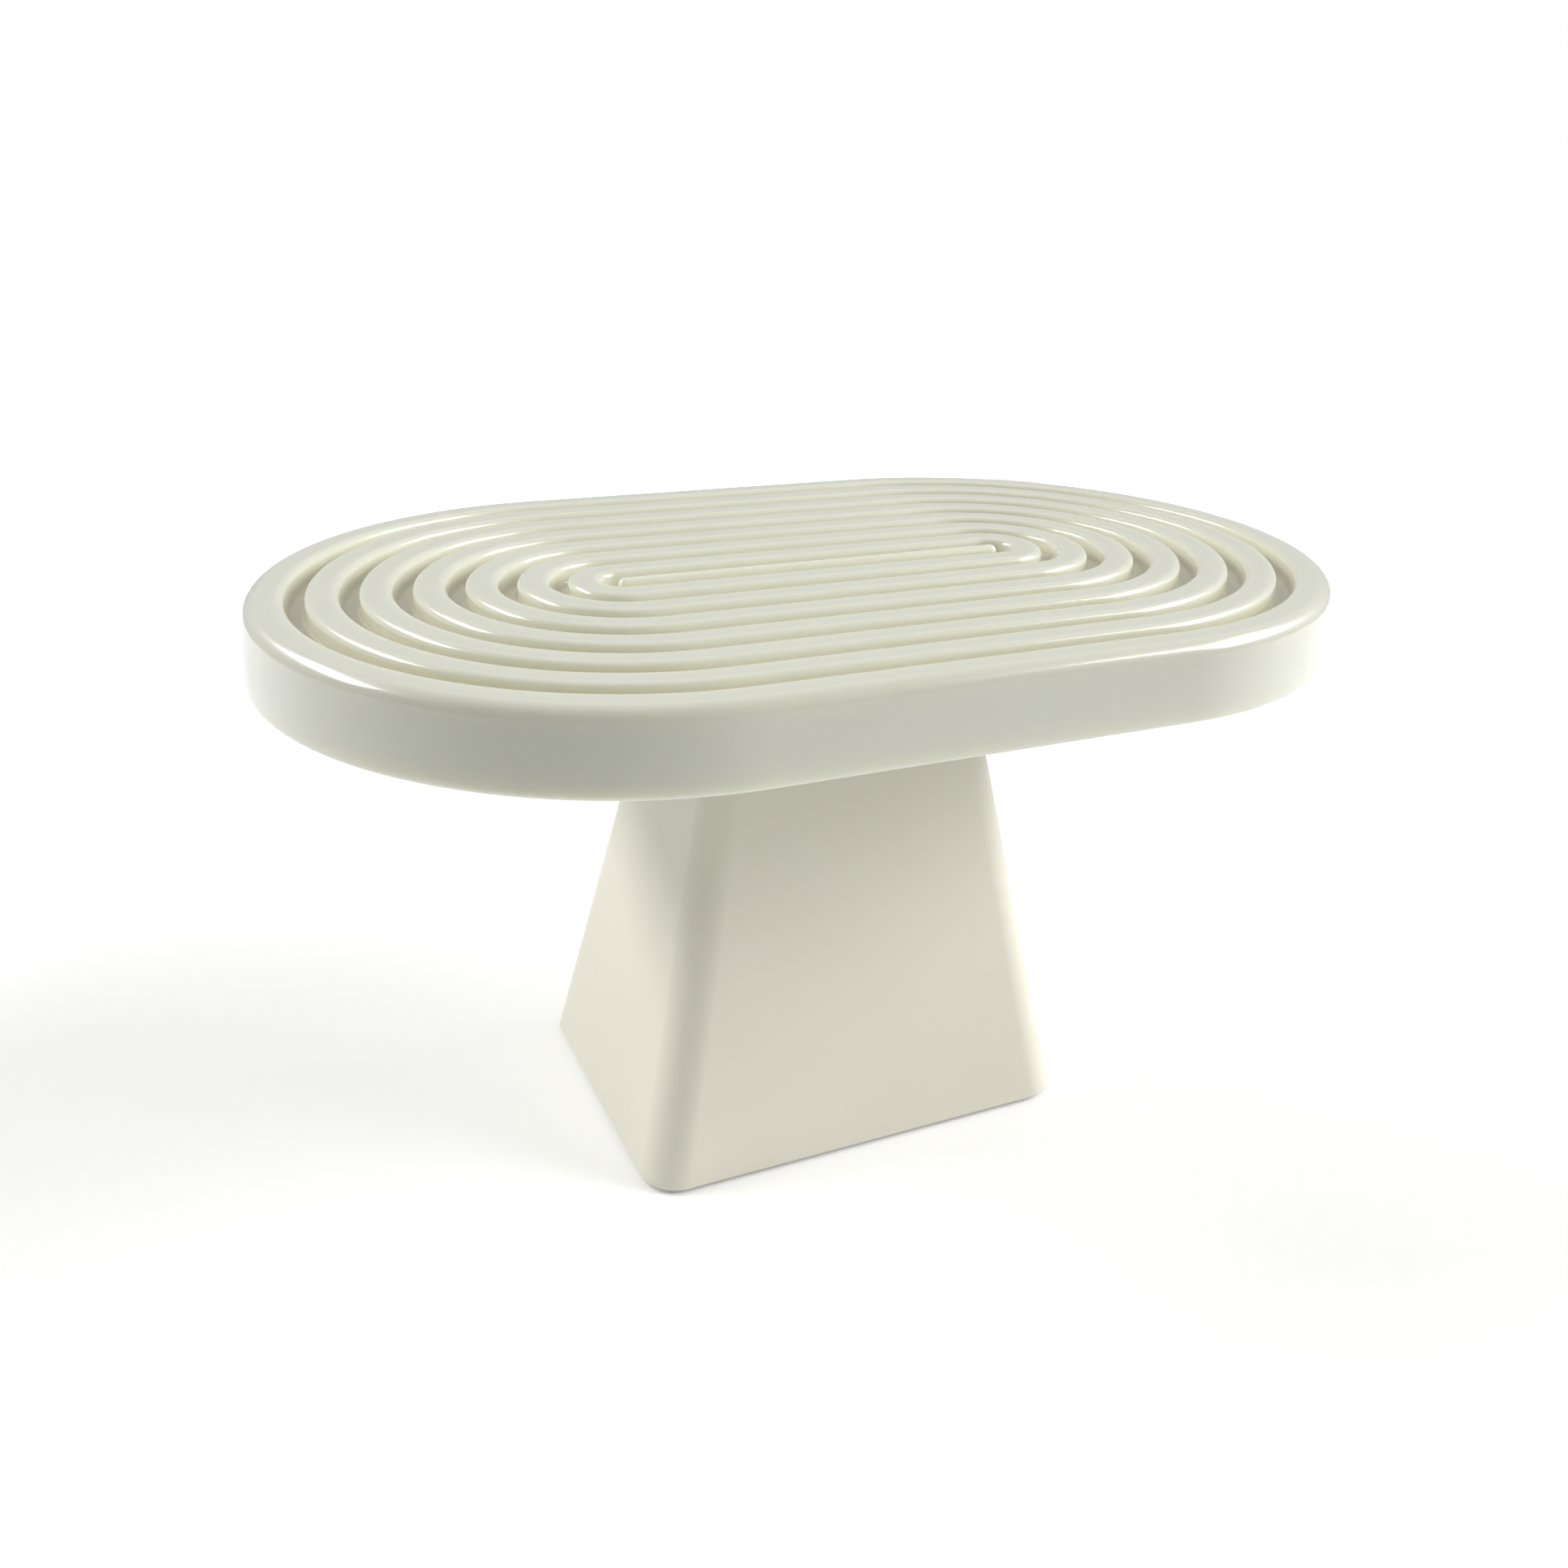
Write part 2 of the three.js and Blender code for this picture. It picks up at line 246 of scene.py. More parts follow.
@dataclass(frozen=True)
class GlossEnamel:
    """The slab's thick, shiny coat, with a warm tint painted down in the grooves for the bounced light and
    shade there.
    """

    colour: Colour = (0.695, 0.703, 0.612)
    cloud_colour: Colour = (0.68, 0.688, 0.592)
    cloud_size: float = 40 * MM
    # Painted bounced light and shade: a warmer colour for the groove floors.
    painted_bounce_colour: Colour = (0.742, 0.716, 0.59)
    roughness: Span = (0.29, 0.34)
    roughness_patch: float = 12 * MM
    wave_size: float = 14 * MM
    wave_depth: float = 0.02 * MM
    grain_size: float = 1.2 * MM
    grain_depth: float = 0.001 * MM
    coat: float = 0.8
    coat_roughness: float = 0.11
    scatter: float = 1.0
    scatter_radius: tuple[float, float, float] = (1.0, 0.95, 0.8)
    scatter_scale: float = 5.5 * MM

    def material(self) -> bpy.types.Material:
        """Make the enamel.

        Returns:
            The material.
        """
        sheet = ShaderSheet("gloss_enamel")
        sheet.set(Coat_Weight=self.coat, Coat_Roughness=self.coat_roughness)
        sheet.set(Subsurface_Weight=self.scatter, Subsurface_Scale=self.scatter_scale)
        sheet.shader.inputs["Subsurface Radius"].default_value = self.scatter_radius
        clouds = sheet.spread(sheet.noise(self.cloud_size, 1), MOST_OF_NOISE)
        tinted = sheet.mix(clouds, self.colour, self.cloud_colour)
        # Painted bounced light and shade: the warm tint grows with depth below the top, and is full on the
        # groove floors.
        colour = sheet.mix(sheet.painted(GROOVE_BOUNCE_LAYER), tinted, self.painted_bounce_colour)
        roughness = sheet.spread(sheet.noise(self.roughness_patch, 1), MOST_OF_NOISE, self.roughness)
        waves = sheet.relief(sheet.noise(self.wave_size, 0), self.wave_depth)
        normal = sheet.relief(sheet.noise(self.grain_size, 1), self.grain_depth, waves)
        return sheet.dress(colour, roughness, normal)


@dataclass(frozen=True)
class SatinEnamel:
    """The pedestal's smooth satin coat, with a soft mottle and a very fine grain."""

    colour: Colour = (0.79, 0.768, 0.66)
    mottle_colour: Colour = (0.78, 0.755, 0.642)
    mottle_size: float = 30 * MM
    roughness: Span = (0.4, 0.48)
    roughness_patch: float = 8 * MM
    wave_size: float = 20 * MM
    wave_depth: float = 0.02 * MM
    grain_size: float = 0.5 * MM
    grain_depth: float = 0.004 * MM
    coat: float = 0.25
    coat_roughness: float = 0.25

    def material(self) -> bpy.types.Material:
        """Make the enamel.

        Returns:
            The material.
        """
        sheet = ShaderSheet("satin_enamel")
        sheet.set(Coat_Weight=self.coat, Coat_Roughness=self.coat_roughness)
        mottle = sheet.spread(sheet.noise(self.mottle_size), MOST_OF_NOISE)
        colour = sheet.mix(mottle, self.colour, self.mottle_colour)
        roughness = sheet.spread(sheet.noise(self.roughness_patch), MOST_OF_NOISE, self.roughness)
        waves = sheet.relief(sheet.noise(self.wave_size, 0), self.wave_depth)
        normal = sheet.relief(sheet.noise(self.grain_size), self.grain_depth, waves)
        return sheet.dress(colour, roughness, normal)


@dataclass(frozen=True)
class SoftRubber:
    """Moulded rubber: matte, slightly dusty, with a fine skin."""

    name: str
    colour: Colour
    dusty_colour: Colour
    dust_size: float = 3 * MM
    dust_span: Span = (0.45, 0.7)
    roughness: Span = (0.7, 0.9)
    roughness_patch: float = 1.5 * MM
    grain_size: float = 0.3 * MM
    grain_depth: float = 0.02 * MM

    def material(self) -> bpy.types.Material:
        """Make the rubber.

        Returns:
            The material.
        """
        sheet = ShaderSheet(self.name)
        dust = sheet.spread(sheet.noise(self.dust_size, 4), self.dust_span)
        colour = sheet.mix(dust, self.colour, self.dusty_colour)
        roughness = sheet.spread(sheet.noise(self.roughness_patch), MIDDLE_OF_NOISE, self.roughness)
        normal = sheet.relief(sheet.noise(self.grain_size, 3), self.grain_depth)
        return sheet.dress(colour, roughness, normal)


@dataclass(frozen=True)
class TurnedMetal:
    """Bright metal with the fine rings that a lathe leaves, and a thin uneven tarnish."""

    name: str
    colour: Colour
    tarnish_colour: Colour
    tarnish_size: float = 2.5 * MM
    tarnish_span: Span = (0.4, 0.75)
    roughness: Span = (0.22, 0.4)
    roughness_patch: float = 1 * MM
    ring_size: float = 2 * MM
    ring_stretch: tuple[float, float, float] = (0.3, 0.3, 12)
    ring_depth: float = 0.004 * MM

    def material(self) -> bpy.types.Material:
        """Make the metal.

        Returns:
            The material.
        """
        sheet = ShaderSheet(self.name)
        sheet.set(Metallic=1.0)
        tarnish = sheet.spread(sheet.noise(self.tarnish_size, 4), self.tarnish_span)
        colour = sheet.mix(tarnish, self.colour, self.tarnish_colour)
        roughness = sheet.spread(sheet.noise(self.roughness_patch, 3), MIDDLE_OF_NOISE, self.roughness)
        rings = sheet.noise(self.ring_size, stretch=self.ring_stretch)
        return sheet.dress(colour, roughness, sheet.relief(rings, self.ring_depth))


STEEL = TurnedMetal("zinc_plated_steel", (0.62, 0.63, 0.64), (0.48, 0.48, 0.47))
BRASS = TurnedMetal("turned_brass", (0.72, 0.52, 0.22), (0.5, 0.35, 0.15))
BLACK_RUBBER = SoftRubber("foot_rubber", (0.035, 0.035, 0.034), (0.07, 0.068, 0.064))
GREY_RUBBER = SoftRubber("seat_rubber", (0.5, 0.49, 0.43), (0.58, 0.57, 0.52))


# ---------------------------------------------------------------------------------------------------
# Mesh work that the pieces share
# ---------------------------------------------------------------------------------------------------


@dataclass(frozen=True)
class NodeBox:
    """The box of a CAD node, and what is read from it."""

    low: Vector
    high: Vector

    @classmethod
    def of(cls, node: str) -> "NodeBox":
        """Return the box of a CAD node.

        Args:
            node: The node's name.

        Returns:
            Its box.
        """
        low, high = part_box(node)
        return cls(Vector(low), Vector(high))

    @property
    def half_length(self) -> float:
        """Half the size along X."""
        return (self.high.x - self.low.x) / 2

    @property
    def half_width(self) -> float:
        """Half the size along Y."""
        return (self.high.y - self.low.y) / 2

    @property
    def middle(self) -> Vector:
        """The plan centre, at the lowest height."""
        return Vector(((self.low.x + self.high.x) / 2, (self.low.y + self.high.y) / 2, self.low.z))


@dataclass(frozen=True)
class Corner:
    """A corner of a section: distance out, height, and the radius that rounds it."""

    reach: float
    height: float
    radius: float = 0.0


def round_vertex(mesh: BMesh, vertex: BMVert, radius: float, segments: int) -> None:
    """Round one corner of an outline.

    Args:
        mesh: The mesh that holds the outline.
        vertex: The corner.
        radius: The arc's radius.
        segments: How many straight pieces the arc has.
    """
    bmesh.ops.bevel(
        mesh,
        geom=[vertex],
        offset=radius,
        offset_type="OFFSET",
        affect="VERTICES",
        segments=segments,
        profile=0.5,
        material=-1,
    )


def draw_section(mesh: BMesh, corners: Sequence[Corner], segments: int, x: float = 0.0) -> list[BMEdge]:
    """Draw an open section as edges in the plane of a given X, reaching out towards -Y.

    Args:
        mesh: The mesh to draw in.
        corners: The section's corners in order.
        segments: How many straight pieces each rounded corner has.
        x: Where the section's plane lies.

    Returns:
        The section's edges.
    """
    vertices = [mesh.verts.new((x, -corner.reach, corner.height)) for corner in corners]
    for first, second in zip(vertices, vertices[1:]):
        mesh.edges.new((first, second))
    for vertex, corner in zip(vertices, corners):
        if corner.radius > 0:
            round_vertex(mesh, vertex, corner.radius, segments)
    return list(mesh.edges)


def spin_section(
    mesh: BMesh, edges: Iterable[BMEdge], centre: Vector, angle: float, steps: int
) -> list[BMEdge]:
    """Turn a section about an upright axis.

    Args:
        mesh: The mesh that holds the section.
        edges: The section's edges.
        centre: A point on the axis.
        angle: How far it turns.
        steps: How many steps the turn has.

    Returns:
        The section's edges where the turn ends.
    """
    edges = list(edges)
    vertices = list(dict.fromkeys(vertex for edge in edges for vertex in edge.verts))
    turned = bmesh.ops.spin(
        mesh,
        geom=vertices + edges,
        cent=centre,
        axis=UP,
        angle=angle,
        steps=steps,
        use_merge=math.isclose(angle, FULL_TURN),
    )
    return [item for item in turned["geom_last"] if isinstance(item, BMEdge)]


def slide_section(mesh: BMesh, edges: Sequence[BMEdge], offset: Vector) -> list[BMEdge]:
    """Carry a section along a straight run.

    Args:
        mesh: The mesh that holds the section.
        edges: The section's edges.
        offset: How far and which way it goes.

    Returns:
        The section's edges where the run ends.
    """
    made = bmesh.ops.extrude_edge_only(mesh, edges=edges)["geom"]
    vertices = [item for item in made if isinstance(item, BMVert)]
    bmesh.ops.translate(mesh, verts=vertices, vec=offset)
    moved = set(vertices)
    return [item for item in made if isinstance(item, BMEdge) and moved.issuperset(item.verts)]


def draw_circle(mesh: BMesh, centre: Vector, radius: float, segments: int) -> list[BMEdge]:
    """Draw a level circle as edges.

    Args:
        mesh: The mesh to draw in.
        centre: The circle's centre.
        radius: Its radius.
        segments: How many edges it has.

    Returns:
        Its edges.
    """
    made = bmesh.ops.create_circle(
        mesh, cap_ends=False, segments=segments, radius=radius, matrix=Matrix.Translation(centre)
    )
    return list(dict.fromkeys(edge for vertex in made["verts"] for edge in vertex.link_edges))


def draw_hole(mesh: BMesh, node: str, height: float, radius: float, segments: int) -> list[BMEdge]:
    """Draw the level rim of a hole round a node's axis.

    Args:
        mesh: The mesh to draw in.
        node: The node that the hole is for.
        height: The rim's height.
        radius: Its radius.
        segments: How many edges it has.

    Returns:
        Its edges.
    """
    middle = NodeBox.of(node).middle
    return draw_circle(mesh, Vector((middle.x, middle.y, height)), radius, segments)


def draw_rounded_rectangle(
    mesh: BMesh, half_length: float, half_width: float, radius: float, height: float, segments: int
) -> list[BMEdge]:
    """Draw a level rounded rectangle as edges.

    Args:
        mesh: The mesh to draw in.
        half_length: Half its size along X.
        half_width: Half its size along Y.
        radius: Its corner radius.
        height: Its height.
        segments: How many straight pieces each corner has.

    Returns:
        Its edges.
    """
    before = set(mesh.edges)
    vertices = [mesh.verts.new((x * half_length, y * half_width, height)) for x, y in QUADRANTS]
    for first, second in zip(vertices, vertices[1:] + vertices[:1]):
        mesh.edges.new((first, second))
    for vertex in vertices:
        round_vertex(mesh, vertex, radius, segments)
    return [edge for edge in mesh.edges if edge not in before]


def is_level(vertex: BMVert, height: float) -> bool:
    """Tell whether a point lies at a height.

    Args:
        vertex: The point.
        height: The height.

    Returns:
        True where it does.
    """
    return math.isclose(vertex.co.z, height, abs_tol=MERGE_DISTANCE)


def open_loop(mesh: BMesh, height: float) -> list[BMEdge]:
    """Return the open edges at a height.

    Args:
        mesh: The mesh to look in.
        height: The height.

    Returns:
        The edges.
    """
    open_edges = [edge for edge in mesh.edges if edge.is_boundary]
    return [edge for edge in open_edges if all(is_level(vertex, height) for vertex in edge.verts)]


def fill_between(mesh: BMesh, *loops: Iterable[BMEdge]) -> None:
    """Fill a flat face whose outline and holes are given.

    Args:
        mesh: The mesh to fill in.
        loops: The edges of the outline and of each hole.
    """
    edges = [edge for loop in loops for edge in loop]
    bmesh.ops.triangle_fill(mesh, use_beauty=True, use_dissolve=False, edges=edges)


def bridge(mesh: BMesh, first: Iterable[BMEdge], second: Iterable[BMEdge]) -> None:
    """Join two loops by a band of faces.

    Args:
        mesh: The mesh that holds the loops.
        first: One loop's edges.
        second: The other loop's edges.
    """
    bmesh.ops.bridge_loops(mesh, edges=[*first, *second])


def sink_hole(mesh: BMesh, mouth: Sequence[BMEdge], depth: float) -> None:
    """Make a blind hole behind a mouth that is already drawn.

    Args:
        mesh: The mesh that holds the mouth.
        mouth: The edges of its mouth.
        depth: How far up it goes, or down where it is negative.
    """
    bottom = slide_section(mesh, mouth, Vector((0, 0, depth)))
    fill_between(mesh, bottom)


def move_to_node(mesh: BMesh, box: NodeBox) -> None:
    """Move a mesh made about the Z axis to its node's place in plan.

    Args:
        mesh: The mesh.
        box: The node's box.
    """
    bmesh.ops.translate(mesh, verts=mesh.verts, vec=(box.middle.x, box.middle.y, 0))


def finish_piece(
    mesh: BMesh,
    name: str,
    material: bpy.types.Material,
    node: str,
    sharp_deg: float = SHARP_DEG,
) -> bpy.types.Object:
    """Turn a mesh into a piece of the stand that stands for a CAD node.

    Args:
        mesh: The mesh, which is used up.
        name: The piece's name.
        material: Its finish.
        node: The CAD node that it replaces.
        sharp_deg: Edges that bend more than this stay sharp.

    Returns:
        The piece.
    """
    bmesh.ops.remove_doubles(mesh, verts=mesh.verts, dist=MERGE_DISTANCE)
    bmesh.ops.dissolve_degenerate(mesh, edges=mesh.edges, dist=MERGE_DISTANCE / 2)
    bmesh.ops.recalc_face_normals(mesh, faces=mesh.faces)
    for face in mesh.faces:
        face.smooth = True
    data = bpy.data.meshes.new(name)
    open_edges = sum(1 for edge in mesh.edges if not edge.is_manifold)
    mesh.to_mesh(data)
    mesh.free()
    data.set_sharp_from_angle(angle=math.radians(sharp_deg))
    data.materials.append(material)
    piece = bpy.data.objects.new(name, data)
    bpy.context.scene.collection.objects.link(piece)
    weighting = piece.modifiers.new("even_normals", "WEIGHTED_NORMAL")
    weighting.keep_sharp = True
    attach(piece, BODY)
    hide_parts(node)
    log.info("%s: %d faces, %d open edges", name, len(data.polygons), open_edges)
    return piece


# ---------------------------------------------------------------------------------------------------
# Sub-assemblies
# ---------------------------------------------------------------------------------------------------


@dataclass
class Hardware:
    """The four screws with their washers and inserts, which hold the slab to the deck."""

    metal_steps: int = 48
    knurl_steps: int = 96
    edge_segments: int = 4
    edge_radius: float = 0.25 * MM
    bore_radius: float = 2.8 * MM
    head_height: float = 2.75 * MM
    head_band: float = 0.6 * MM
    head_rounding: float = 1.1 * MM
    crown_radius: float = 2.4 * MM
    crown_rise: float = 0.6 * MM
    shank_radius: float = 2.5 * MM
    shank_edge_radius: float = 0.5 * MM
    socket_width: float = 3.0 * MM
    socket_depth: float = 1.6 * MM
    insert_bands: int = 3
    knurl_depth: float = 0.22 * MM
    knurl_sharp_deg: float = 25.0
    waist_depth: float = 0.5 * MM

    def build(self) -> None:
        """Build and dress all twelve pieces."""
        steel = STEEL.material()
        brass = BRASS.material()
        for corner in CORNERS:
            self.screw(f"fixing_screw_{corner}", steel)
            self.washer(f"washer_{corner}", steel)
            self.insert(f"threaded_insert_{corner}", brass)

    def screw(self, node: str, material: bpy.types.Material) -> None:
        """Build a button-head screw, head down, with a hexagon socket.

        Args:
            node: The CAD node that it replaces.
            material: Its finish.
        """
        box = NodeBox.of(node)
        mesh = bmesh.new()
        edges = draw_section(mesh, self.screw_section(box), self.edge_segments)
        spin_section(mesh, edges, Vector(), FULL_TURN, self.metal_steps)
        crown = open_loop(mesh, box.low.z)
        socket_radius = self.socket_width / math.sqrt(3)
        socket = draw_circle(mesh, Vector((0, 0, box.low.z)), socket_radius, HEXAGON_SIDES)
        fill_between(mesh, crown, socket)
        sink_hole(mesh, socket, self.socket_depth)
        move_to_node(mesh, box)
        finish_piece(mesh, f"{node}_steel", material, node)

    def screw_section(self, box: NodeBox) -> list[Corner]:
        """Return half of a screw's section, from the socket's rim to the shank's tip.

        Args:
            box: The screw's box.

        Returns:
            The section's corners.
        """
        head_radius = box.half_length
        seat = box.low.z + self.head_height
        return [
            Corner(self.crown_radius, box.low.z),
            Corner((self.crown_radius + head_radius) / 2, box.low.z + self.crown_rise, self.head_rounding),
            Corner(head_radius, seat - self.head_band),
            Corner(head_radius, seat, self.edge_radius),
            Corner(self.shank_radius, seat),
            Corner(self.shank_radius, box.high.z, self.shank_edge_radius),
            Corner(0, box.high.z),
        ]

    def washer(self, node: str, material: bpy.types.Material) -> None:
        """Build a flat washer with softened edges.

        Args:
            node: The CAD node that it replaces.
            material: Its finish.
        """
        box = NodeBox.of(node)
        mesh = bmesh.new()
        section = [
            Corner(self.bore_radius, box.low.z),
            Corner(box.half_length, box.low.z, self.edge_radius),
            Corner(box.half_length, box.high.z, self.edge_radius),
            Corner(self.bore_radius, box.high.z),
        ]
        edges = draw_section(mesh, section, self.edge_segments)
        spin_section(mesh, edges, Vector(), FULL_TURN, self.metal_steps)
        bridge(mesh, open_loop(mesh, box.low.z), open_loop(mesh, box.high.z))
        move_to_node(mesh, box)
        finish_piece(mesh, f"{node}_steel", material, node)

    def insert(self, node: str, material: bpy.types.Material) -> None:
        """Build a brass insert with two knurled bands.

        Args:
            node: The CAD node that it replaces.
            material: Its finish.
        """
        box = NodeBox.of(node)
        mesh = bmesh.new()
        edges = draw_section(mesh, self.insert_section(box), self.edge_segments)
        spin_section(mesh, edges, Vector(), FULL_TURN, self.knurl_steps)
        bridge(mesh, open_loop(mesh, box.low.z), open_loop(mesh, box.high.z))
        self.knurl(mesh, box.half_length)
        move_to_node(mesh, box)
        finish_piece(mesh, f"{node}_brass", material, node, self.knurl_sharp_deg)

    def insert_section(self, box: NodeBox) -> list[Corner]:
        """Return half of an insert's section: a band, a waist and a band, each as long as the others.

        Args:
            box: The insert's box.

        Returns:
            The section's corners.
        """
        radius = box.half_length
        waist = radius - self.waist_depth
        band = (box.high.z - box.low.z) / self.insert_bands
        return [
            Corner(self.bore_radius, box.low.z),
            Corner(waist, box.low.z),
            Corner(radius, box.low.z + self.edge_radius),
            Corner(radius, box.low.z + band),
            Corner(waist, box.low.z + band + self.edge_radius),
            Corner(waist, box.high.z - band - self.edge_radius),
            Corner(radius, box.high.z - band),
            Corner(radius, box.high.z - self.edge_radius),
            Corner(waist, box.high.z),
            Corner(self.bore_radius, box.high.z),
        ]

    def knurl(self, mesh: BMesh, radius: float) -> None:
        """Press every other column of the widest bands inwards.

        Args:
            mesh: The insert's mesh, about the Z axis.
            radius: The radius of its bands.
        """
        step = FULL_TURN / self.knurl_steps
        for vertex in mesh.verts:
            on_band = math.hypot(vertex.co.x, vertex.co.y) > radius - MERGE_DISTANCE
            column = round(math.atan2(vertex.co.y, vertex.co.x) / step)
            if on_band and column % 2:
                outwards = Vector((vertex.co.x, vertex.co.y, 0)).normalized()
                vertex.co -= outwards * self.knurl_depth


@dataclass
class ServingSlab:
    """The thick oblong slab, with closed grooves one inside the next."""

    node: str = "serving_slab"
    flare: float = 1.5 * MM
    top_edge_radius: float = 3.5 * MM
    lower_edge_radius: float = 1.0 * MM
    rim_width: float = 9.5 * MM
    groove_width: float = 4.7 * MM
    groove_pitch: float = 12.9 * MM
    groove_depth: float = 5.0 * MM
    groove_count: int = 7
    lip_radius: float = 1.8 * MM
    floor_radius: float = 1.0 * MM
    insert_clearance: float = 0.3 * MM
    insert_hole_depth: float = 10.0 * MM
    end_steps: int = 96
    edge_segments: int = 8
    hole_segments: int = 48
    box: NodeBox = field(init=False)

    def __post_init__(self) -> None:
        """Read the slab's box."""
        self.box = NodeBox.of(self.node)

    @property
    def end_centre(self) -> float:
        """How far along X the centre of each half-round end lies."""
        return self.box.half_length - self.box.half_width

    def section(self) -> list[Corner]:
        """Return half of the slab's section, from the underside's edge to the top's middle.

        Returns:
            The section's corners.
        """
        bottom = self.box.low.z
        top = self.box.high.z
        lower_reach = self.box.half_width
        upper_reach = lower_reach - self.flare
        corners = [
            Corner(lower_reach - 2 * self.lower_edge_radius, bottom),
            Corner(lower_reach, bottom, self.lower_edge_radius),
            Corner(upper_reach, top, self.top_edge_radius),
        ]
        outermost = upper_reach - self.rim_width - self.groove_width / 2
        for groove in range(self.groove_count):
            corners += self.groove_corners(outermost - groove * self.groove_pitch)
        return [*corners, Corner(0, top)]

    def groove_corners(self, middle: float) -> list[Corner]:
        """Return a groove's corners, from the outside in.

        Args:
            middle: The distance of the groove's middle from the centre line.

        Returns:
            Its two lips and the two corners of its floor.
        """
        top = self.box.high.z
        floor = top - self.groove_depth
        outer = middle + self.groove_width / 2
        inner = middle - self.groove_width / 2
        return [
            Corner(outer, top, self.lip_radius),
            Corner(outer, floor, self.floor_radius),
            Corner(inner, floor, self.floor_radius),
            Corner(inner, top, self.lip_radius),
        ]

    def build(self) -> None:
        """Build and dress the slab."""
        mesh = bmesh.new()
        edges = draw_section(mesh, self.section(), self.edge_segments, self.end_centre)
        run = Vector((2 * self.end_centre, 0, 0))
        for side in (1, -1):
            centre = Vector((side * self.end_centre, 0, 0))
            edges = spin_section(mesh, edges, centre, HALF_TURN, self.end_steps)
            edges = slide_section(mesh, edges, -side * run)
        bmesh.ops.remove_doubles(mesh, verts=mesh.verts, dist=MERGE_DISTANCE)
        self.close_underside(mesh)
        self.mark_painted_bounce(mesh)
        finish_piece(mesh, "grooved_slab", GlossEnamel().material(), self.node)

    def mark_painted_bounce(self, mesh: BMesh) -> None:
        """Store how strongly the painted warm tint of bounced light and shade shows on each point: 0 on the
        ridges, 1 on the groove floors.

        Args:
            mesh: The slab's mesh.
        """
        # Painted bounced light and shade: the weight runs from 0 at the top to 1 on the groove floors.
        layer = mesh.verts.layers.float.new(GROOVE_BOUNCE_LAYER)
        rim = self.box.half_width - self.flare - self.rim_width + self.lip_radius
        for vertex in mesh.verts:
            depth = self.box.high.z - vertex.co.z
            in_groove = self.reach(vertex) < rim and depth < self.groove_depth + MERGE_DISTANCE
            vertex[layer] = depth / self.groove_depth if in_groove else 0.0

    def reach(self, vertex: BMVert) -> float:
        """Return how far in plan a point lies from the line between the end centres.

        Args:
            vertex: The point.

        Returns:
            The distance.
        """
        beyond_end = max(abs(vertex.co.x) - self.end_centre, 0.0)
        return math.hypot(beyond_end, vertex.co.y)

    def close_underside(self, mesh: BMesh) -> None:
        """Fill the underside and sink the four holes for the inserts.

        Args:
            mesh: The slab's mesh, open below.
        """
        outline = [edge for edge in mesh.edges if edge.is_boundary]
        holes = [self.insert_hole(mesh, f"threaded_insert_{corner}") for corner in CORNERS]
        fill_between(mesh, outline, *holes)
        for hole in holes:
            sink_hole(mesh, hole, self.insert_hole_depth)

    def insert_hole(self, mesh: BMesh, insert: str) -> list[BMEdge]:
        """Draw the rim of an insert's hole.

        Args:
            mesh: The slab's mesh.
            insert: The insert's node.

        Returns:
            Its edges.
        """
        radius = NodeBox.of(insert).half_length + self.insert_clearance
        return draw_hole(mesh, insert, self.box.low.z, radius, self.hole_segments)


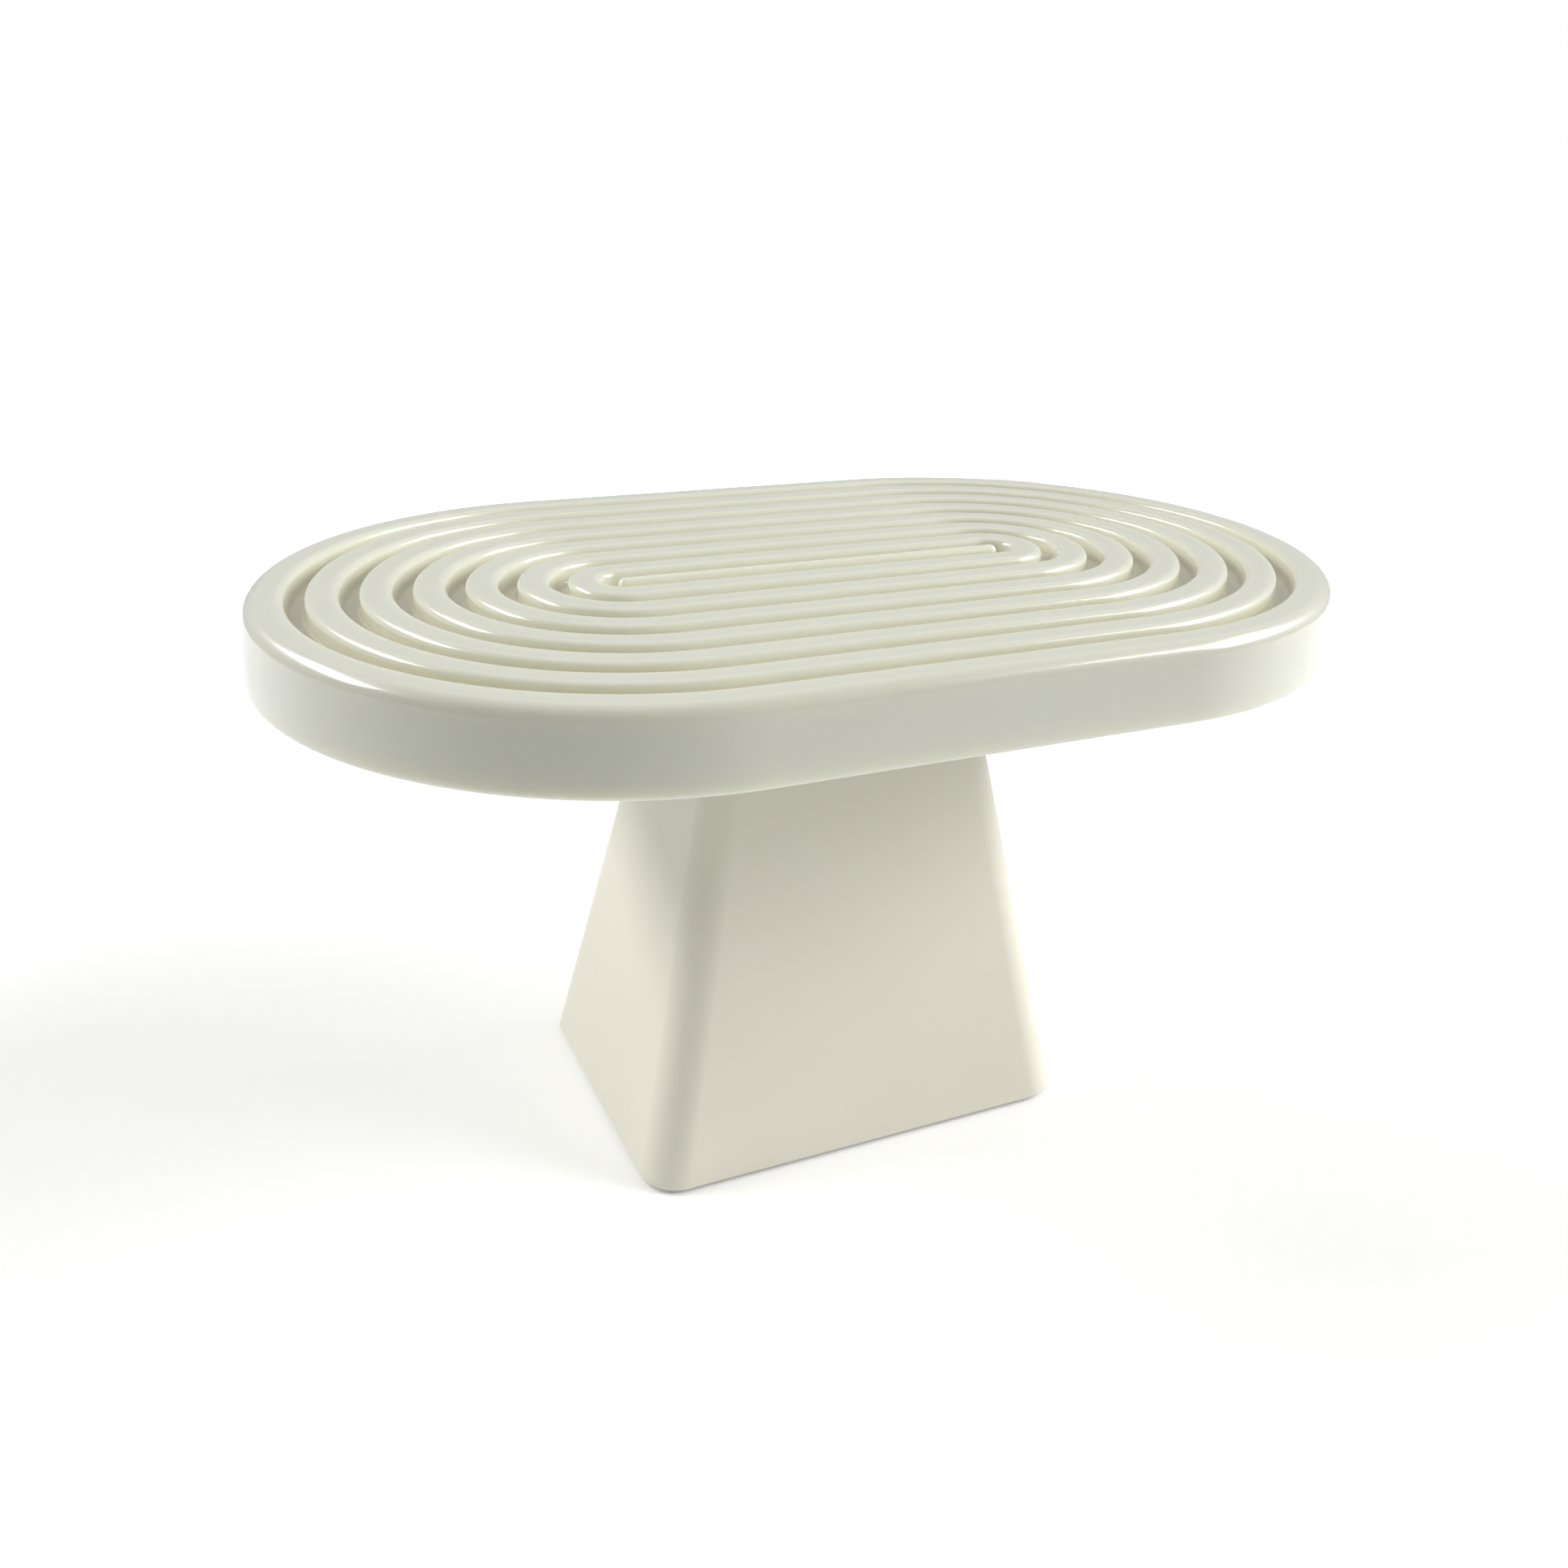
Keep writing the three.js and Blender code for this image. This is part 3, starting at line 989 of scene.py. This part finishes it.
@dataclass
class Pedestal:
    """The hollow tapered pedestal, with its deck and the recesses for the feet."""

    node: str = "pedestal_shell"
    base_half_length: float = 66.5 * MM
    base_half_width: float = 49.5 * MM
    top_half_length: float = 37.0 * MM
    top_half_width: float = 26.0 * MM
    outer_radii: Span = (11.0 * MM, 8.7 * MM)
    cavity_radii: Span = (30.0 * MM, 14.0 * MM)
    lower_edge_radius: float = 1.0 * MM
    upper_edge_radius: float = 0.4 * MM
    wall: float = 6.0 * MM
    deck_thickness: float = 8.0 * MM
    clearance: float = 0.3 * MM
    corner_segments: int = 20
    edge_segments: int = 5
    hole_segments: int = 64
    box: NodeBox = field(init=False)

    def __post_init__(self) -> None:
        """Read the pedestal's box."""
        self.box = NodeBox.of(self.node)

    @property
    def ceiling(self) -> float:
        """The height of the deck's underside."""
        return self.box.high.z - self.deck_thickness

    def build(self) -> None:
        """Build and dress the pedestal."""
        mesh = bmesh.new()
        outer_base = self.outline(mesh, self.box.low.z, 0.0, self.outer_radii)
        outer_top = self.outline(mesh, self.box.high.z, 0.0, self.outer_radii)
        inner_base = self.outline(mesh, self.box.low.z, self.wall, self.cavity_radii)
        inner_top = self.outline(mesh, self.ceiling, self.wall, self.cavity_radii)
        bridge(mesh, outer_base, outer_top)
        bridge(mesh, inner_base, inner_top)
        self.close_base(mesh, outer_base, inner_base)
        self.close_deck(mesh, outer_top, inner_top)
        self.soften(mesh, outer_base, self.lower_edge_radius)
        self.soften(mesh, outer_top, self.upper_edge_radius)
        finish_piece(mesh, "tapered_pedestal", SatinEnamel().material(), self.node)

    def outline(self, mesh: BMesh, height: float, inset: float, radii: Span) -> list[BMEdge]:
        """Draw a level outline that follows the taper.

        Args:
            mesh: The mesh to draw in.
            height: The outline's height.
            inset: How far inside the outer faces it lies.
            radii: Its corner radius at the base and at the top.

        Returns:
            Its edges.
        """
        share = (height - self.box.low.z) / (self.box.high.z - self.box.low.z)
        half_length = self.base_half_length + (self.top_half_length - self.base_half_length) * share
        half_width = self.base_half_width + (self.top_half_width - self.base_half_width) * share
        radius = radii[0] + (radii[1] - radii[0]) * share
        return draw_rounded_rectangle(
            mesh, half_length - inset, half_width - inset, radius, height, self.corner_segments
        )

    def close_base(self, mesh: BMesh, outer: Sequence[BMEdge], inner: Sequence[BMEdge]) -> None:
        """Fill the base's rim and sink the recesses for the feet.

        Args:
            mesh: The pedestal's mesh.
            outer: The rim's outline.
            inner: The cavity's outline.
        """
        feet = [f"rubber_foot_{corner}" for corner in CORNERS]
        mouths = [self.foot_mouth(mesh, foot) for foot in feet]
        fill_between(mesh, outer, inner, *mouths)
        for foot, mouth in zip(feet, mouths):
            sink_hole(mesh, mouth, NodeBox.of(foot).high.z - self.box.low.z)

    def foot_mouth(self, mesh: BMesh, foot: str) -> list[BMEdge]:
        """Draw the mouth of a foot's recess.

        Args:
            mesh: The pedestal's mesh.
            foot: The foot's node.

        Returns:
            Its edges.
        """
        radius = NodeBox.of(foot).half_length + self.clearance
        return draw_hole(mesh, foot, self.box.low.z, radius, self.hole_segments)

    def close_deck(self, mesh: BMesh, outer: Sequence[BMEdge], inner: Sequence[BMEdge]) -> None:
        """Fill the deck's two faces and bore the four screw holes through it.

        Args:
            mesh: The pedestal's mesh.
            outer: The outline of its top.
            inner: The outline of the cavity's ceiling.
        """
        lower_holes = self.screw_holes(mesh, self.ceiling)
        upper_holes = self.screw_holes(mesh, self.box.high.z)
        fill_between(mesh, inner, *lower_holes)
        fill_between(mesh, outer, *upper_holes)
        for lower, upper in zip(lower_holes, upper_holes):
            bridge(mesh, lower, upper)

    def screw_holes(self, mesh: BMesh, height: float) -> list[list[BMEdge]]:
        """Draw the rims of the four screw holes at a height.

        Args:
            mesh: The pedestal's mesh.
            height: The height.

        Returns:
            The edges of each.
        """
        screws = [f"fixing_screw_{corner}" for corner in CORNERS]
        return [draw_hole(mesh, screw, height, Hardware.bore_radius, self.hole_segments) for screw in screws]

    def soften(self, mesh: BMesh, edges: Iterable[BMEdge], radius: float) -> None:
        """Round an edge loop.

        Args:
            mesh: The pedestal's mesh.
            edges: The loop.
            radius: The radius.
        """
        bmesh.ops.bevel(
            mesh,
            geom=[edge for edge in edges if edge.is_valid],
            offset=radius,
            offset_type="OFFSET",
            affect="EDGES",
            segments=self.edge_segments,
            profile=0.5,
            material=-1,
        )


@dataclass
class RubberParts:
    """The thin seat between slab and deck, and the four feet."""

    seat_node: str = "joining_seat"
    seat_corner_radius: float = 7.2 * MM
    seat_segments: int = 12
    foot_edge_radius: float = 0.5 * MM
    foot_upper_edge_radius: float = 0.25 * MM
    foot_segments: int = 6
    dimple_radius: float = 3.2 * MM
    dimple_depth: float = 0.3 * MM
    steps: int = 64

    def build(self) -> None:
        """Build and dress the seat and the feet."""
        self.seat()
        black = BLACK_RUBBER.material()
        for corner in CORNERS:
            self.foot(f"rubber_foot_{corner}", black)

    def seat(self) -> None:
        """Build the seat with its four screw holes."""
        box = NodeBox.of(self.seat_node)
        mesh = bmesh.new()
        outline = draw_rounded_rectangle(
            mesh, box.half_length, box.half_width, self.seat_corner_radius, box.low.z, self.seat_segments
        )
        screws = [f"fixing_screw_{corner}" for corner in CORNERS]
        holes = [draw_hole(mesh, screw, box.low.z, Hardware.bore_radius, self.steps) for screw in screws]
        fill_between(mesh, outline, *holes)
        raised = bmesh.ops.extrude_face_region(mesh, geom=list(mesh.faces), use_keep_orig=True)["geom"]
        vertices = [item for item in raised if isinstance(item, BMVert)]
        bmesh.ops.translate(mesh, verts=vertices, vec=(0, 0, box.high.z - box.low.z))
        finish_piece(mesh, "seat_pad", GREY_RUBBER.material(), self.seat_node)

    def foot(self, node: str, material: bpy.types.Material) -> None:
        """Build a round foot with a soft edge and a moulded dimple.

        Args:
            node: The CAD node that it replaces.
            material: Its finish.
        """
        box = NodeBox.of(node)
        radius = box.half_length
        dimple_top = box.low.z + self.dimple_depth
        mesh = bmesh.new()
        section = [
            Corner(0, dimple_top),
            Corner(self.dimple_radius - self.foot_edge_radius, dimple_top, self.dimple_depth),
            Corner(self.dimple_radius, box.low.z, self.dimple_depth / 2),
            Corner(radius, box.low.z, self.foot_edge_radius),
            Corner(radius, box.high.z, self.foot_upper_edge_radius),
            Corner(0, box.high.z),
        ]
        edges = draw_section(mesh, section, self.foot_segments)
        spin_section(mesh, edges, Vector(), FULL_TURN, self.steps)
        move_to_node(mesh, box)
        finish_piece(mesh, f"{node}_pad", material, node)


# ---------------------------------------------------------------------------------------------------
# Studio
# ---------------------------------------------------------------------------------------------------


def direction(azimuth_deg: float, elevation_deg: float = 0.0) -> Vector:
    """Return the way from the stand to a place in the studio.

    Args:
        azimuth_deg: The turn from the front, towards +X.
        elevation_deg: The height above level.

    Returns:
        A vector of length 1.
    """
    azimuth = math.radians(azimuth_deg)
    elevation = math.radians(elevation_deg)
    return Vector((
        math.sin(azimuth) * math.cos(elevation),
        -math.cos(azimuth) * math.cos(elevation),
        math.sin(elevation),
    ))


def hang(
    thing: bpy.types.Object, target: Vector, way: Vector, distance: float, roll_deg: float = 0.0
) -> None:
    """Link a camera or a light, and put it where it looks at a target.

    Args:
        thing: The camera or light.
        target: The point that it looks at.
        way: The way from the target to it, of length 1.
        distance: How far away it is.
        roll_deg: How far it is turned about its own line of sight.
    """
    bpy.context.scene.collection.objects.link(thing)
    roll = Quaternion(UP, math.radians(roll_deg))
    thing.rotation_mode = "QUATERNION"
    thing.rotation_quaternion = (-way).to_track_quat("-Z", "Y") @ roll
    thing.location = target + way * distance


@dataclass(frozen=True)
class StudioCamera:
    """The view from above and to the stand's front left."""

    target: tuple[float, float, float] = (-7.9 * MM, 0.0, 95.3 * MM)
    azimuth_deg: float = -25.1
    elevation_deg: float = 24.05
    roll_deg: float = 1.9
    distance: float = 415.0 * MM
    lens_mm: float = 32.9
    sensor_mm: float = 36.0
    clip_start: float = 10 * MM

    def build(self) -> None:
        """Make the camera and use it."""
        data = bpy.data.cameras.new("studio_camera")
        data.sensor_width = self.sensor_mm
        data.lens = self.lens_mm
        data.clip_start = self.clip_start
        camera = bpy.data.objects.new("studio_camera", data)
        way = direction(self.azimuth_deg, self.elevation_deg)
        hang(camera, Vector(self.target), way, self.distance, self.roll_deg)
        bpy.context.scene.camera = camera


@dataclass(frozen=True)
class SoftBox:
    """A soft studio light that looks at the slab."""

    name: str
    azimuth_deg: float
    elevation_deg: float
    power: float
    width: float
    height: float
    distance: float = 2.0

    def build(self, target: Vector) -> None:
        """Hang the light.

        Args:
            target: The point that it looks at.
        """
        data = bpy.data.lights.new(self.name, "AREA")
        data.shape = "RECTANGLE"
        data.size = self.width
        data.size_y = self.height
        data.energy = self.power
        lamp = bpy.data.objects.new(self.name, data)
        hang(lamp, target, direction(self.azimuth_deg, self.elevation_deg), self.distance)


@dataclass(frozen=True)
class Studio:
    """A plain pale floor, a white surround and soft lights."""

    floor_radius: float = 0.9
    floor_segments: int = 128
    floor_colour: Colour = (0.9, 0.9, 0.9)
    floor_roughness: float = 0.9
    floor_glow: Span = (0.14, 1.0)
    glow_starts: float = 0.25
    backdrop_azimuth_deg: float = 155
    backdrop_span: Span = (-0.6, 0.6)
    backdrop_strength: float = 0.22
    surround_strength: float = 0.25
    lights: tuple[SoftBox, ...] = (
        SoftBox("right_box", 70, 31, 38.0, width=1.4, height=0.9),
        SoftBox("left_box", 233, 35, 26.0, width=1.4, height=0.5),
    )

    def build(self) -> None:
        """Set up the floor, the surround and the lights."""
        self.floor()
        self.surround()
        target = Vector((0, 0, (CAD_BOX[0].z + CAD_BOX[1].z) / 2))
        for light in self.lights:
            light.build(target)
        bpy.context.scene.view_settings.view_transform = "Standard"

    def floor(self) -> None:
        """Lay a round floor."""
        mesh = bmesh.new()
        bmesh.ops.create_circle(mesh, cap_ends=True, radius=self.floor_radius, segments=self.floor_segments)
        data = bpy.data.meshes.new("floor")
        mesh.to_mesh(data)
        mesh.free()
        data.materials.append(self.floor_material())
        floor = bpy.data.objects.new("floor", data)
        bpy.context.scene.collection.objects.link(floor)

    def floor_material(self) -> bpy.types.Material:
        """Make the floor's material, which brightens to the surround's white at its rim.

        Returns:
            The material.
        """
        sheet = ShaderSheet("white_floor")
        sheet.set(Roughness=self.floor_roughness)
        sheet.shader.inputs["Base Color"].default_value = (*self.floor_colour, 1)
        sheet.shader.inputs["Emission Color"].default_value = (1, 1, 1, 1)
        reach = sheet.nodes.new("ShaderNodeVectorMath")
        reach.operation = "LENGTH"
        sheet.links.new(sheet.place, reach.inputs[0])
        glow = sheet.spread(reach.outputs["Value"], (self.glow_starts, self.floor_radius), self.floor_glow)
        seen = sheet.nodes.new("ShaderNodeMath")
        seen.operation = "MULTIPLY"
        path = sheet.nodes.new("ShaderNodeLightPath")
        sheet.links.new(glow, seen.inputs[0])
        sheet.links.new(path.outputs["Is Camera Ray"], seen.inputs[1])
        sheet.links.new(seen.outputs["Value"], sheet.shader.inputs["Emission Strength"])
        return sheet.material

    def surround(self) -> None:
        """Make the surround white to look at, and as a light dim but for a backdrop behind the stand."""
        world = bpy.data.worlds.new("surround")
        world.use_nodes = True
        bpy.context.scene.world = world
        nodes = world.node_tree.nodes
        links = world.node_tree.links
        light = nodes["Background"]
        light.inputs["Color"].default_value = (1, 1, 1, 1)
        links.new(self.backdrop(world), light.inputs["Strength"])
        white = nodes.new("ShaderNodeBackground")
        white.inputs["Color"].default_value = (1, 1, 1, 1)
        path = nodes.new("ShaderNodeLightPath")
        choice = nodes.new("ShaderNodeMixShader")
        links.new(path.outputs["Is Camera Ray"], choice.inputs["Fac"])
        links.new(light.outputs["Background"], choice.inputs[1])
        links.new(white.outputs["Background"], choice.inputs[2])
        links.new(choice.outputs["Shader"], nodes["World Output"].inputs["Surface"])

    def backdrop(self, world: bpy.types.World) -> Socket:
        """Return the surround's strength, which grows towards the backdrop.

        Args:
            world: The world to build in.

        Returns:
            The strength.
        """
        nodes = world.node_tree.nodes
        links = world.node_tree.links
        looking = nodes.new("ShaderNodeTexCoord")
        towards = nodes.new("ShaderNodeVectorMath")
        towards.operation = "DOT_PRODUCT"
        towards.inputs[1].default_value = direction(self.backdrop_azimuth_deg)
        links.new(looking.outputs["Generated"], towards.inputs[0])
        strength = nodes.new("ShaderNodeMapRange")
        strength.inputs["From Min"].default_value = self.backdrop_span[0]
        strength.inputs["From Max"].default_value = self.backdrop_span[1]
        strength.inputs["To Min"].default_value = self.surround_strength
        strength.inputs["To Max"].default_value = self.surround_strength + self.backdrop_strength
        links.new(towards.outputs["Value"], strength.inputs["Value"])
        return strength.outputs["Result"]


def main() -> None:
    """Build the stand and the studio round it."""
    logging.basicConfig(level=logging.INFO, format="%(message)s")
    StudioCamera().build()
    ServingSlab().build()
    Pedestal().build()
    RubberParts().build()
    Hardware().build()
    Studio().build()


if __name__ == "__main__":
    main()
